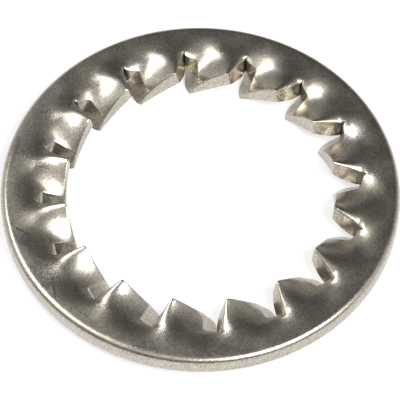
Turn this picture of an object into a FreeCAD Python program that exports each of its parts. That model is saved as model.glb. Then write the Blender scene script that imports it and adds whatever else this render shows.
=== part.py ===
import FreeCAD, Part
import math
import os

from FreeCAD import Vector

# A lock washer with internal teeth, stamped from one sheet: a flat ring whose inner half is
# slit into teeth, each tooth twisted so that its clockwise end stands proud of the ring and
# its other end dips below it. Millimetres and degrees, axis on Z, washer lying on the tips.
# Angles along a tooth are measured clockwise, seen from above, from its low corner.

# Sheet and ring
outer_diameter = 37.6
hole_diameter = 25.4
sheet_thickness = 1.9
top_edge_radius = 0.6
bottom_edge_radius = 0.25

# Teeth
tooth_count = 16
first_slit_angle = 96.5

# How far out the slits and the bends reach, as shares of the way from hole to rim
slit_share = 0.525
bend_share = 0.84
bend_power = 2

# At the slit roots the sheet waves up and down once in every pitch
wave_height = 0.17
wave_drop = 0.09
wave_low_share = 0.22

# From there to the hole each tooth is twisted evenly more, and bowed up in its middle. The
# low end's drop is the sheet's own, at the slit, where the scraped face has cut it away.
low_end_drop = 2.9
raised_end_rise = 0.82
top_bow = 0.35
twist_onset = 0.2

# The low end is scraped thinner, so the underside is twisted less than the top
low_foot_drop = 1.18
raised_foot_rise = 0.97
underside_sag = 0.15

# Plan shape of a tooth at the hole, each a distance along the hole's edge from its slit
raised_top_setback = 1.06
raised_foot_setback = 0.78
raised_foot_power = 3
crease_setback = 1.02
crease_return = 0.13
crease_start_share = 0.16
crease_swing_share = 0.1
low_foot_setback = 0.21
low_foot_overlap = 0.6

# Stock left on the teeth inside the hole, which the last punch takes off
hole_stock = 0.25

# Poles of the curved faces, across a tooth and along it
across_poles = 11
along_poles = 18
blend_poles = 7
face_degree = 3

pitch = 360.0 / tooth_count
outer_radius = outer_diameter / 2
hole_radius = hole_diameter / 2
stock_radius = hole_radius - hole_stock
ring_width = outer_radius - hole_radius
root_radius = hole_radius + slit_share * ring_width
bend_radius = hole_radius + bend_share * ring_width
wave_run = bend_power * (root_radius - hole_radius) / (bend_radius - root_radius)
punch_length = outer_diameter
degree_length = math.radians(1.0) * hole_radius


def ease(x):
    """A smooth step from 0 to 1."""
    x = min(max(x, 0.0), 1.0)
    return x * x * (3 - 2 * x)


def softened(s):
    """Share of the twist at s along the tooth: even growth after a short soft start."""
    start = math.hypot(s, twist_onset) - twist_onset
    return start / (math.hypot(1, twist_onset) - twist_onset)


def raised_top_edge(s):
    """Angle of the upper edge of the raised end, from the slit root (s = 0) to the hole (s = 1)."""
    return pitch - raised_top_setback / degree_length * s


def raised_foot_edge(s):
    """Angle of the lower edge of the raised end, which leaves the slit only near the hole."""
    return pitch - raised_foot_setback / degree_length * s ** raised_foot_power


def crease_edge(s):
    """Angle of the upper edge of the low end, which swings out round the scraped face."""
    out = crease_setback * ease((s - crease_start_share) / crease_swing_share)
    return (out - crease_return * s ** 2) / degree_length


def low_foot_edge(s):
    """Angle of the lower edge of the low end, which reaches under the next tooth on its way."""
    under = low_foot_overlap * math.sin(math.pi * s) * s ** 2
    return (low_foot_setback * s ** 2 - under) / degree_length


def wave(angle):
    """Height of the sheet over the plain ring at the slit roots."""
    return -wave_drop - wave_height * math.cos(2 * math.pi * (angle / pitch - wave_low_share))


def bend_lift(radius, angle):
    """Height of the sheet outside the slit roots, where it grows out of the plain ring."""
    return wave(angle) * ((bend_radius - radius) / (bend_radius - root_radius)) ** bend_power


def tooth_lift(s, angle, across, low, high, bow):
    """Height of one side of a tooth: the wave runs on smoothly and dies out as the twist and
    the bow come in."""
    twist = high * across - low * (1 - across) + bow * 4 * across * (1 - across)
    run = (1 + (wave_run + 2) * s) * (1 - s) ** 2
    return wave(angle) * run + twist * softened(s)


def top_height():
    """Height of the ring's upper face when the washer lies on the low feet of its teeth."""
    foot = low_foot_edge(1)
    across = foot / raised_foot_edge(1)
    lowest = tooth_lift(1, foot, across, low_foot_drop, raised_foot_rise, -underside_sag)
    return sheet_thickness - lowest


ring_top = top_height()


def place(radius, angle, height):
    """A point at a tooth's own angle, clockwise from its slit, as x, y and z."""
    turn = math.radians(first_slit_angle - angle)
    return Vector(radius * math.cos(turn), radius * math.sin(turn), height)


def tooth_poles(low_edge, high_edge, low, high, bow, depth):
    """Poles of a tooth's upper or lower side, row by row from the slit root to the hole."""
    rows = []
    for j in range(along_poles):
        radius = root_radius + (stock_radius - root_radius) * j / (along_poles - 1)
        s = (root_radius - radius) / (root_radius - hole_radius)
        row = []
        for i in range(across_poles):
            angle = low_edge(s) + (high_edge(s) - low_edge(s)) * i / (across_poles - 1)
            lift = tooth_lift(s, angle, angle / high_edge(s), low, high, bow)
            row.append(place(radius, angle, ring_top - depth + lift))
        rows.append(row)
    return rows


def bend_poles(depth):
    """Poles from the flat ring to the slit roots, over one pitch."""
    rows = []
    for j in range(blend_poles):
        radius = bend_radius + (root_radius - bend_radius) * j / (blend_poles - 1)
        row = []
        for i in range(across_poles):
            angle = pitch * i / (across_poles - 1)
            row.append(place(radius, angle, ring_top - depth + bend_lift(radius, angle)))
        rows.append(row)
    return rows


def clamped_knots(count, degree):
    """Evenly spaced knots for an open curve, and how often each is repeated."""
    spans = count - degree
    knots = [k / spans for k in range(spans + 1)]
    repeats = [degree + 1] + [1] * (spans - 1) + [degree + 1]
    return knots, repeats


def curved_face(rows):
    """A face from its rows of poles, cubic where it has enough of them."""
    along_degree = min(face_degree, len(rows) - 1)
    across_degree = min(face_degree, len(rows[0]) - 1)
    along_knots, along_repeats = clamped_knots(len(rows), along_degree)
    across_knots, across_repeats = clamped_knots(len(rows[0]), across_degree)
    surface = Part.BSplineSurface()
    surface.buildFromPolesMultsKnots(
        rows, along_repeats, across_repeats, along_knots, across_knots,
        False, False, along_degree, across_degree)
    return surface.toShape()


def curve_of(poles):
    """The edge that a face has along one row of its poles."""
    knots, repeats = clamped_knots(len(poles), face_degree)
    curve = Part.BSplineCurve()
    curve.buildFromPolesMultsKnots(poles, repeats, knots, False, face_degree)
    return curve.toShape()


def tooth_faces():
    """The seven faces of one tooth and of the bend that joins it to the ring."""
    top = tooth_poles(
        crease_edge, raised_top_edge, low_end_drop, raised_end_rise, top_bow, 0.0)
    bottom = tooth_poles(
        low_foot_edge, raised_foot_edge, low_foot_drop, raised_foot_rise, -underside_sag,
        sheet_thickness)
    bend_top = bend_poles(0.0)
    bend_bottom = bend_poles(sheet_thickness)
    scraped = [[row[0] for row in top], [row[0] for row in bottom]]
    sheared = [[row[-1] for row in top], [row[-1] for row in bottom]]
    hole_edge = [top[-1], bottom[-1]]
    patches = (top, bottom, bend_top, bend_bottom, scraped, sheared, hole_edge)
    return [curved_face(rows) for rows in patches], bend_top[0], bend_bottom[0]


def turned(shape, index):
    """A copy of a shape at one of the tooth positions."""
    copy = shape.copy()
    copy.rotate(Vector(0, 0, 0), Vector(0, 0, 1), -pitch * index)
    return copy


def ring_face(radius, height, inner_poles):
    """The flat of the ring, from its rounded edge in to where the bends begin."""
    outer = Part.Wire([Part.Circle(Vector(0, 0, height), Vector(0, 0, 1), radius).toShape()])
    inner = Part.Wire([turned(curve_of(inner_poles), k) for k in range(tooth_count)])
    return Part.Face([outer, inner])


def rim_faces():
    """The outer edge of the sheet, with its larger radius on top."""
    top = ring_top
    bottom = ring_top - sheet_thickness
    upper = outer_radius - top_edge_radius
    lower = outer_radius - bottom_edge_radius
    bevel = math.sqrt(0.5)
    upper_arc = Part.Arc(
        Vector(upper, 0, top),
        Vector(upper + top_edge_radius * bevel, 0, top - top_edge_radius * (1 - bevel)),
        Vector(outer_radius, 0, top - top_edge_radius)).toShape()
    wall = Part.LineSegment(
        Vector(outer_radius, 0, top - top_edge_radius),
        Vector(outer_radius, 0, bottom + bottom_edge_radius)).toShape()
    lower_arc = Part.Arc(
        Vector(outer_radius, 0, bottom + bottom_edge_radius),
        Vector(lower + bottom_edge_radius * bevel, 0, bottom + bottom_edge_radius * (1 - bevel)),
        Vector(lower, 0, bottom)).toShape()
    turn = (Vector(0, 0, 0), Vector(0, 0, 1), 360)
    return [edge.revolve(*turn) for edge in (upper_arc, wall, lower_arc)]


def lock_washer():
    """The whole stamping as one solid."""
    one_tooth, top_row, bottom_row = tooth_faces()
    faces = [turned(face, k) for k in range(tooth_count) for face in one_tooth]
    faces.append(ring_face(outer_radius - top_edge_radius, ring_top, top_row))
    faces.append(ring_face(outer_radius - bottom_edge_radius, ring_top - sheet_thickness, bottom_row))
    for band in rim_faces():
        faces.extend(band.Faces)
    skin = Part.makeCompound(faces)
    skin.sewShape()
    solid = Part.makeSolid(skin.Shells[0])
    if solid.Volume < 0:
        solid.reverse()
    punch = Part.makeCylinder(hole_radius, punch_length, Vector(0, 0, (ring_top - punch_length) / 2))
    punch.rotate(Vector(0, 0, 0), Vector(0, 0, 1), first_slit_angle)
    return solid.cut(punch).Solids[0]


os.makedirs("parts", exist_ok=True)
washer = lock_washer()
washer.exportStep("parts/lock_washer.step")
print("valid", washer.isValid(), "volume", round(washer.Volume, 2), "box", washer.BoundBox)
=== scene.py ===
import math

import bpy
import numpy as np
from mathutils import Matrix, Vector


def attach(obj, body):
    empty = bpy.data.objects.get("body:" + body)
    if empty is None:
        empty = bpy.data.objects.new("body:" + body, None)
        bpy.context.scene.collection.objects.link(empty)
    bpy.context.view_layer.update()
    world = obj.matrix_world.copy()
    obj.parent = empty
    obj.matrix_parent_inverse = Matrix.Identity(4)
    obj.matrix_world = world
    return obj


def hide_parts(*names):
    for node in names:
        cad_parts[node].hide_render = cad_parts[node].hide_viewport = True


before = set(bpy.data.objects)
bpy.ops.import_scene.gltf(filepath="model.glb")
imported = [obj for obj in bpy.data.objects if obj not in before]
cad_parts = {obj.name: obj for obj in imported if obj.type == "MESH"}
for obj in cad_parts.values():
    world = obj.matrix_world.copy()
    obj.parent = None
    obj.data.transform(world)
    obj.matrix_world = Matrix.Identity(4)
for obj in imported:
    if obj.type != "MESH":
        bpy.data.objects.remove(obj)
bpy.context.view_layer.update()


# The washer: one stamping from 1.9 mm stainless strip, slit into sixteen teeth that the tool
# twists, clockwise end up. Tumbling has rounded the rim and left a soft, speckled shine. Lengths
# are millimetres, and angles degrees clockwise from a tooth's slit, seen from above.

outer_radius = 18.8
hole_radius = 12.7
thickness = 1.9
top_rim_radius = 0.6
bottom_rim_radius = 0.25
tooth_count = 16
pitch = 360.0 / tooth_count
first_slit = 96.5
root_radius = 15.9
bend_radius = 17.824
hole_degree = math.radians(1.0) * hole_radius

wave_height = 0.17
wave_drop = 0.09
wave_low_share = 0.22
bend_power = 2
low_drop = 2.9
raised_rise = 0.82
top_bow = 0.35
twist_onset = 0.2
low_foot_drop = 1.18
raised_foot_rise = 0.97
underside_sag = 0.15
wave_run = bend_power * (root_radius - hole_radius) / (bend_radius - root_radius)

raised_top_setback = 1.06
raised_foot_setback = 0.78
crease_setback = 1.02
crease_return = 0.13
crease_start = 0.12
crease_swing = 0.2
low_foot_setback = 0.21
low_foot_overlap = 0.6

rollover_share = 0.2
rollover_depth = 0.34
crease_share = 0.03
crease_round = 0.05
hole_edge_round = 0.16
rounding_fade = 0.2
scratches = (
    ((-17.0, -5.0), (-14.4, -6.3)),
    ((-14.0, -6.6), (-12.4, -7.1)),
    ((-13.4, -10.2), (-13.1, -12.4)),
    ((-10.9, -13.7), (-10.0, -14.3)))

dent_depth = 0.04
dent_radius = 15.8
dent_angle = 2.0
dent_width = 0.35
dent_spread = 1.6
dent_fade = 0.6

middle_columns = 22
rollover_steps = 10
crease_steps = 3
root_rows = 9
dense_rows = 13
dense_from = 0.15
dense_to = 0.27
open_rows = 16
edge_steps = 4
wall_steps = 8
bend_rows = 19
flat_rows = 3
upper_arc_steps = 8
lower_arc_steps = 4
joining_gap = 0.0005
sharp_angle = 40.0


def ease(x):
    """Goes from 0 to 1 with flat ends: 3 x squared less 2 x cubed."""
    x = np.clip(x, 0.0, 1.0)
    return x * x * (3 - 2 * x)


def raised_top_edge(s):
    """Angle of the raised end's upper edge: a pitch less a setback that grows evenly."""
    return pitch - raised_top_setback / hole_degree * s


def raised_foot_edge(s):
    """Angle of its foot: a pitch less a setback that grows as the cube of s."""
    return pitch - raised_foot_setback / hole_degree * s ** 3


def softened(s):
    """Share of the twist at s: a hyperbola, even growth after a short soft start."""
    start = np.hypot(s, twist_onset) - twist_onset
    return start / (math.hypot(1, twist_onset) - twist_onset)


def crease_edge(s):
    """Angle of the crease over the scraped face, which swings out in an S and drifts back."""
    out = crease_setback * ease((s - crease_start) / crease_swing)
    return (out - crease_return * s ** 2) / hole_degree


def low_foot_edge(s):
    """Angle of the low end's foot: a half sine wave times s squared takes it under the next
    tooth, and it comes out again at the hole."""
    under = low_foot_overlap * np.sin(math.pi * s) * s ** 2
    return (low_foot_setback * s ** 2 - under) / hole_degree


def dented(radius, angle):
    """Depth of the small round dents that the slitting tool left at the slit roots."""
    aside = (angle - dent_angle + pitch / 2) % pitch - pitch / 2
    return dent_depth * np.exp(
        -((radius - dent_radius) / dent_width) ** 2 - (aside / dent_spread) ** 2)


def wave(angle):
    """Height of the sheet at the slit roots: one cosine wave a pitch."""
    return -wave_drop - wave_height * np.cos(2 * math.pi * (angle / pitch - wave_low_share))


def bend_lift(radius, angle):
    """Height outside the slit roots: the wave grows in by a power of the way to the roots."""
    return wave(angle) * ((bend_radius - radius) / (bend_radius - root_radius)) ** bend_power


def tooth_lift(s, angle, across, low, high, bow):
    """Height of one side of a tooth: the wave runs on at the slope it has at the root and dies
    out as (1 - s) squared, while a straight twist and a parabola's bow come in."""
    twist = high * across - low * (1 - across) + bow * 4 * across * (1 - across)
    run = (1 + (wave_run + 2) * s) * (1 - s) ** 2
    return wave(angle) * run + twist * softened(s)


foot_angle = low_foot_edge(1.0)
foot_lift = tooth_lift(
    1.0, foot_angle, foot_angle / raised_foot_edge(1.0), low_foot_drop, raised_foot_rise,
    -underside_sag)
ring_top = thickness - foot_lift


def quarter(steps):
    """Angles of a quarter turn in even steps, from 0 to 90 degrees, in radians."""
    return np.linspace(0.0, math.pi / 2, steps + 1)


def tooth_columns():
    """Shares across a tooth: close together on the rounded crease and on the rollover."""
    crease = crease_share * (1 - np.cos(quarter(crease_steps)))
    middle = np.linspace(crease_share, 1 - rollover_share, middle_columns)[1:]
    rolled = 1 - rollover_share * (1 - np.sin(quarter(rollover_steps)[1:]))
    return np.concatenate([crease, middle, rolled])


def tooth_rows():
    """Shares from slit root to hole, close together in the middle of the crease's swing and on
    the hole's edge."""
    length = root_radius - hole_radius
    body = (1 - hole_edge_round / length) * np.concatenate([
        np.linspace(0.0, dense_from, root_rows)[:-1],
        np.linspace(dense_from, dense_to, dense_rows)[:-1],
        np.linspace(dense_to, 1.0, open_rows)])
    rounded = 1 - hole_edge_round / length * (1 - np.sin(quarter(edge_steps)[1:]))
    return np.concatenate([body, rounded])


def edge_drop(share, row):
    """How far rounding takes the upper side down: a quarter circle's sag at the rollover, at
    the crease and at the hole's edge, each fading out at the slit root."""
    length = root_radius - hole_radius
    fade = ease(row / rounding_fade)
    rolled = np.clip((share - 1 + rollover_share) / rollover_share, 0.0, 1.0)
    creased = np.clip(1 - share / crease_share, 0.0, 1.0)
    ended = np.clip((row - 1) * length / hole_edge_round + 1, 0.0, 1.0)
    return (rollover_depth * fade * (1 - np.sqrt(1 - rolled ** 2))
            + crease_round * fade * (1 - np.sqrt(1 - creased ** 2))
            + hole_edge_round * (1 - np.sqrt(1 - ended ** 2)))


def between(first, last, steps):
    """Straight runs of points from one row to another, in steps, as one grid."""
    share = np.linspace(0.0, 1.0, steps + 1)[:, None, None]
    return first[None] * (1 - share) + last[None] * share


def tooth_grids():
    """Radius, angle and height on the grids that make one tooth with its share of the ring."""
    share = tooth_columns()[None, :]
    row = tooth_rows()[:, None]
    radius = root_radius + (hole_radius - root_radius) * row + 0 * share

    angle = crease_edge(row) + (raised_top_edge(row) - crease_edge(row)) * share
    height = ring_top + tooth_lift(
        row, angle, angle / raised_top_edge(row), low_drop, raised_rise, top_bow)
    height = height - edge_drop(share, row) - dented(radius, angle)
    upper = np.stack([radius, angle, height], axis=-1)

    angle = low_foot_edge(row) + (raised_foot_edge(row) - low_foot_edge(row)) * share
    height = ring_top - thickness + tooth_lift(
        row, angle, angle / raised_foot_edge(row), low_foot_drop, raised_foot_rise,
        -underside_sag)
    lower = np.stack([radius, angle, height], axis=-1)

    cut_wall = between(upper[:, -1], lower[:, -1], wall_steps)
    scraped = between(upper[:, 0], lower[:, 0], wall_steps)
    end_wall = between(upper[-1], lower[-1], wall_steps)

    angle = pitch * share[0]
    arc = quarter(upper_arc_steps)
    low_arc = quarter(lower_arc_steps)
    top_flat = outer_radius - top_rim_radius
    bottom_flat = outer_radius - bottom_rim_radius
    rim_radius = np.concatenate([
        np.linspace(bend_radius, top_flat, flat_rows),
        top_flat + top_rim_radius * np.sin(arc[1:]),
        bottom_flat + bottom_rim_radius * np.cos(low_arc),
        np.linspace(bottom_flat, bend_radius, flat_rows)[1:]])
    rim_height = np.concatenate([
        np.full(flat_rows, ring_top),
        ring_top - top_rim_radius * (1 - np.cos(arc[1:])),
        ring_top - thickness + bottom_rim_radius * (1 - np.sin(low_arc)),
        np.full(flat_rows - 1, ring_top - thickness)])
    rim = np.stack([
        rim_radius[:, None] + 0 * angle,
        angle + 0 * rim_radius[:, None],
        rim_height[:, None] + 0 * angle], axis=-1)

    bend_row = np.linspace(bend_radius, root_radius, bend_rows)[:, None] + 0 * angle
    bend_angle = angle + 0 * bend_row
    lift = bend_lift(bend_row, bend_angle)
    dent = dented(bend_row, bend_angle) * ease((bend_radius - bend_row) / dent_fade)
    bend_top = np.stack([bend_row, bend_angle, ring_top + lift - dent], axis=-1)
    bend_bottom = np.stack([bend_row, bend_angle, ring_top - thickness + lift], axis=-1)
    return upper, lower, cut_wall, scraped, end_wall, rim, bend_top, bend_bottom


def grid_quads(rows, columns, start, flipped):
    """Corner numbers of the quads of one grid, turned over where the grid runs backwards."""
    index = np.arange(rows * columns).reshape(rows, columns) + start
    quads = np.stack([index[:-1, :-1], index[1:, :-1], index[1:, 1:], index[:-1, 1:]], axis=-1)
    quads = quads.reshape(-1, 4)
    return quads[:, ::-1] if flipped else quads


def stamped_washer():
    """All sixteen teeth: each grid is turned by whole pitches, its radius, angle and height
    become x, y and z, and points that fall together are joined."""
    grids = tooth_grids()
    turned_over = (False, True, True, False, False, True, False, True)
    points = []
    quads = []
    count = 0
    for tooth in range(tooth_count):
        for grid, flip in zip(grids, turned_over):
            turn = np.radians(first_slit - grid[..., 1] - pitch * tooth)
            place = np.stack([
                grid[..., 0] * np.cos(turn), grid[..., 0] * np.sin(turn), grid[..., 2]], axis=-1)
            points.append(place.reshape(-1, 3))
            quads.append(grid_quads(grid.shape[0], grid.shape[1], count, flip))
            count += grid.shape[0] * grid.shape[1]
    points = np.concatenate(points)
    quads = np.concatenate(quads)
    keys = np.round(points / joining_gap).astype(np.int64)
    unused, first, joined = np.unique(keys, axis=0, return_index=True, return_inverse=True)
    return points[first] / 1000, joined.reshape(-1)[quads]


def washer_mesh():
    """The stamping as a smooth-shaded mesh with its sharp edges marked."""
    points, quads = stamped_washer()
    faces = [list(dict.fromkeys(quad)) for quad in quads.tolist()]
    mesh = bpy.data.meshes.new("washer")
    mesh.from_pydata(points.tolist(), [], [face for face in faces if len(face) > 2])
    mesh.validate()
    mesh.polygons.foreach_set("use_smooth", [True] * len(mesh.polygons))
    mesh.set_sharp_from_angle(angle=math.radians(sharp_angle))
    return mesh


def hairline():
    """A shared shading effect: 1 on a thin scratch between two points, 0 beside it. The distance
    is taken to the nearest point of the segment, and noise varies the width."""
    group = bpy.data.node_groups.new("hairline", "ShaderNodeTree")
    group.interface.new_socket("From", in_out="INPUT", socket_type="NodeSocketVector")
    group.interface.new_socket("To", in_out="INPUT", socket_type="NodeSocketVector")
    group.interface.new_socket("Mask", in_out="OUTPUT", socket_type="NodeSocketFloat")
    nodes = group.nodes
    links = group.links
    given = nodes.new("NodeGroupInput")
    result = nodes.new("NodeGroupOutput")
    place = nodes.new("ShaderNodeTexCoord")
    wobble = nodes.new("ShaderNodeTexNoise")
    wobble.inputs["Scale"].default_value = 700.0
    links.new(place.outputs["Object"], wobble.inputs["Vector"])
    here = nodes.new("ShaderNodeVectorMath")
    here.operation = "SUBTRACT"
    links.new(place.outputs["Object"], here.inputs[0])
    links.new(given.outputs["From"], here.inputs[1])
    run = nodes.new("ShaderNodeVectorMath")
    run.operation = "SUBTRACT"
    links.new(given.outputs["To"], run.inputs[0])
    links.new(given.outputs["From"], run.inputs[1])
    along = nodes.new("ShaderNodeVectorMath")
    along.operation = "DOT_PRODUCT"
    links.new(here.outputs["Vector"], along.inputs[0])
    links.new(run.outputs["Vector"], along.inputs[1])
    square = nodes.new("ShaderNodeVectorMath")
    square.operation = "DOT_PRODUCT"
    links.new(run.outputs["Vector"], square.inputs[0])
    links.new(run.outputs["Vector"], square.inputs[1])
    share = nodes.new("ShaderNodeMath")
    share.operation = "DIVIDE"
    share.use_clamp = True
    links.new(along.outputs["Value"], share.inputs[0])
    links.new(square.outputs["Value"], share.inputs[1])
    nearest = nodes.new("ShaderNodeVectorMath")
    nearest.operation = "SCALE"
    links.new(run.outputs["Vector"], nearest.inputs[0])
    links.new(share.outputs["Value"], nearest.inputs["Scale"])
    apart = nodes.new("ShaderNodeVectorMath")
    apart.operation = "DISTANCE"
    links.new(here.outputs["Vector"], apart.inputs[0])
    links.new(nearest.outputs["Vector"], apart.inputs[1])
    width = nodes.new("ShaderNodeMapRange")
    width.inputs["From Min"].default_value = 0.3
    width.inputs["From Max"].default_value = 0.7
    width.inputs["To Min"].default_value = 0.00001
    width.inputs["To Max"].default_value = 0.00011
    links.new(wobble.outputs["Fac"], width.inputs["Value"])
    mask = nodes.new("ShaderNodeMath")
    mask.operation = "LESS_THAN"
    links.new(apart.outputs["Value"], mask.inputs[0])
    links.new(width.outputs["Result"], mask.inputs[1])
    links.new(mask.outputs["Value"], result.inputs["Mask"])
    return group


def tumbled_steel():
    """Stainless steel out of the tumbling barrel: speckled, the specks drawn out a little on the
    cut faces, uneven in tint and sheen, with a few dark scratches on the ring."""
    material = bpy.data.materials.new("tumbled_steel")
    material.use_nodes = True
    nodes = material.node_tree.nodes
    links = material.node_tree.links
    shader = nodes["Principled BSDF"]
    shader.inputs["Metallic"].default_value = 1.0
    place = nodes.new("ShaderNodeTexCoord")

    drawn = nodes.new("ShaderNodeVectorMath")
    drawn.operation = "MULTIPLY"
    drawn.inputs[1].default_value = (1.0, 1.0, 0.5)
    links.new(place.outputs["Object"], drawn.inputs[0])
    speckle = nodes.new("ShaderNodeTexNoise")
    speckle.inputs["Scale"].default_value = 7000.0
    speckle.inputs["Detail"].default_value = 2.0
    links.new(drawn.outputs["Vector"], speckle.inputs["Vector"])
    grain = nodes.new("ShaderNodeValToRGB")
    grain.color_ramp.elements[0].position = 0.3
    grain.color_ramp.elements[0].color = (0.33, 0.31, 0.275, 1.0)
    grain.color_ramp.elements[1].position = 0.72
    grain.color_ramp.elements[1].color = (0.64, 0.61, 0.54, 1.0)
    links.new(speckle.outputs["Fac"], grain.inputs["Fac"])

    patches = nodes.new("ShaderNodeTexNoise")
    patches.inputs["Scale"].default_value = 420.0
    patches.inputs["Detail"].default_value = 3.0
    links.new(place.outputs["Object"], patches.inputs["Vector"])
    tint = nodes.new("ShaderNodeValToRGB")
    tint.color_ramp.elements[0].position = 0.35
    tint.color_ramp.elements[0].color = (0.93, 0.88, 0.88, 1.0)
    tint.color_ramp.elements[1].position = 0.65
    tint.color_ramp.elements[1].color = (1.0, 1.0, 0.92, 1.0)
    links.new(patches.outputs["Fac"], tint.inputs["Fac"])
    tinted = nodes.new("ShaderNodeMix")
    tinted.data_type = "RGBA"
    tinted.blend_type = "MULTIPLY"
    tinted.inputs["Factor"].default_value = 1.0
    links.new(grain.outputs["Color"], tinted.inputs["A"])
    links.new(tint.outputs["Color"], tinted.inputs["B"])

    line = hairline()
    scratched = None
    for first, last in scratches:
        drawn_line = nodes.new("ShaderNodeGroup")
        drawn_line.node_tree = line
        drawn_line.inputs["From"].default_value = (first[0] / 1000, first[1] / 1000, ring_top / 1000)
        drawn_line.inputs["To"].default_value = (last[0] / 1000, last[1] / 1000, ring_top / 1000)
        if scratched is None:
            scratched = drawn_line.outputs["Mask"]
            continue
        either = nodes.new("ShaderNodeMath")
        either.operation = "MAXIMUM"
        links.new(scratched, either.inputs[0])
        links.new(drawn_line.outputs["Mask"], either.inputs[1])
        scratched = either.outputs["Value"]
    marked = nodes.new("ShaderNodeMix")
    marked.data_type = "RGBA"
    marked.inputs["B"].default_value = (0.2, 0.185, 0.17, 1.0)
    links.new(scratched, marked.inputs["Factor"])
    links.new(tinted.outputs["Result"], marked.inputs["A"])
    links.new(marked.outputs["Result"], shader.inputs["Base Color"])

    sheen = nodes.new("ShaderNodeMapRange")
    sheen.inputs["To Min"].default_value = 0.2
    sheen.inputs["To Max"].default_value = 0.36
    links.new(patches.outputs["Fac"], sheen.inputs["Value"])
    links.new(sheen.outputs["Result"], shader.inputs["Roughness"])
    bump = nodes.new("ShaderNodeBump")
    bump.inputs["Strength"].default_value = 0.22
    bump.inputs["Distance"].default_value = 0.00003
    links.new(speckle.outputs["Fac"], bump.inputs["Height"])
    links.new(bump.outputs["Normal"], shader.inputs["Normal"])
    return material


washer = bpy.data.objects.new("washer", washer_mesh())
bpy.context.scene.collection.objects.link(washer)
washer.data.materials.append(tumbled_steel())
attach(washer, "root")
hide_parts("lock_washer")


# The table: a plain sheet of paper that the washer lies on. It glows white to the camera and in
# mirror images only, and stays a dull grey to the light, so the washer's shadow shows.
bpy.ops.mesh.primitive_plane_add(size=6.0, location=(0, 0, 0))
table = bpy.context.object
table.name = "table"
paper = bpy.data.materials.new("white_paper")
paper.use_nodes = True
paper_shader = paper.node_tree.nodes["Principled BSDF"]
paper_shader.inputs["Base Color"].default_value = (0.4, 0.4, 0.4, 1.0)
paper_shader.inputs["Roughness"].default_value = 0.9
rays = paper.node_tree.nodes.new("ShaderNodeLightPath")
seen = paper.node_tree.nodes.new("ShaderNodeMath")
seen.operation = "MAXIMUM"
seen_through = paper.node_tree.nodes.new("ShaderNodeMath")
seen_through.operation = "MAXIMUM"
glow = paper.node_tree.nodes.new("ShaderNodeMath")
glow.operation = "MULTIPLY"
glow.inputs[1].default_value = 0.6
paper.node_tree.links.new(rays.outputs["Is Camera Ray"], seen.inputs[0])
paper.node_tree.links.new(rays.outputs["Is Glossy Ray"], seen.inputs[1])
paper.node_tree.links.new(seen.outputs[0], seen_through.inputs[0])
paper.node_tree.links.new(rays.outputs["Is Transmission Ray"], seen_through.inputs[1])
paper.node_tree.links.new(seen_through.outputs[0], glow.inputs[0])
paper_shader.inputs["Emission Color"].default_value = (1.0, 1.0, 1.0, 1.0)
paper.node_tree.links.new(glow.outputs[0], paper_shader.inputs["Emission Strength"])
table.data.materials.append(paper)


# The lights: a large softbox in front on the right and a flatter one behind on the left, in a
# room that is dark up behind the table, pale round that, and dim low down in front.
room = bpy.data.worlds.new("room")
room.use_nodes = True
room_nodes = room.node_tree.nodes
direction = room_nodes.new("ShaderNodeTexCoord")
dark_side = room_nodes.new("ShaderNodeVectorMath")
dark_side.operation = "DOT_PRODUCT"
dark_side.inputs[1].default_value = (0.12, 0.63, 0.77)
walls = room_nodes.new("ShaderNodeValToRGB")
walls.color_ramp.elements[0].position = 0.0
walls.color_ramp.elements[0].color = (0.25, 0.25, 0.26, 1.0)
walls.color_ramp.elements[1].position = 0.95
walls.color_ramp.elements[1].color = (0.09, 0.09, 0.09, 1.0)
bright_band = walls.color_ramp.elements.new(0.32)
bright_band.color = (1.0, 1.0, 1.0, 1.0)
room.node_tree.links.new(direction.outputs["Generated"], dark_side.inputs[0])
room.node_tree.links.new(dark_side.outputs["Value"], walls.inputs["Fac"])
room.node_tree.links.new(walls.outputs["Color"], room_nodes["Background"].inputs["Color"])
bpy.context.scene.world = room


def soft_lamp(name, place, width, height, power):
    """A flat lamp of a given width and height at a place, turned to the washer."""
    data = bpy.data.lights.new(name, "AREA")
    data.shape = "RECTANGLE"
    data.size = width
    data.size_y = height
    data.energy = power
    lamp = bpy.data.objects.new(name, data)
    lamp.location = place
    lamp.rotation_euler = Vector(place).to_track_quat("Z", "Y").to_euler()
    bpy.context.scene.collection.objects.link(lamp)


soft_lamp("front_right_box", (0.34, -0.34, 0.64), 0.44, 0.36, 6.6)
soft_lamp("back_left_box", (-0.36, 0.16, 0.69), 0.44, 0.26, 2.8)


# The camera: a long lens from in front and above, at the photograph's angle.
camera_elevation = math.radians(57.68)
camera_roll = math.radians(1.0)
camera_distance = 0.216
forward = Vector((0.0, math.cos(camera_elevation), -math.sin(camera_elevation)))
level = Vector((1.0, 0.0, 0.0))
upright = Vector((0.0, math.sin(camera_elevation), math.cos(camera_elevation)))
right = math.cos(camera_roll) * level + math.sin(camera_roll) * upright
up = math.cos(camera_roll) * upright - math.sin(camera_roll) * level
aim_right = -0.0026 * outer_radius / 1000
aim_up = -0.0696 * outer_radius / 1000
aim = Vector((0.0, 0.0, ring_top / 1000)) + aim_right * right + aim_up * up
camera_data = bpy.data.cameras.new("camera")
camera_data.sensor_width = 36.0
camera_data.lens = 206.85
camera_data.clip_start = 0.01
camera = bpy.data.objects.new("camera", camera_data)
camera.matrix_world = Matrix.Translation(aim - camera_distance * forward) @ Matrix(
    (right, up, -forward)).transposed().to_4x4()
bpy.context.scene.collection.objects.link(camera)
bpy.context.scene.camera = camera
bpy.context.scene.view_settings.view_transform = "Standard"
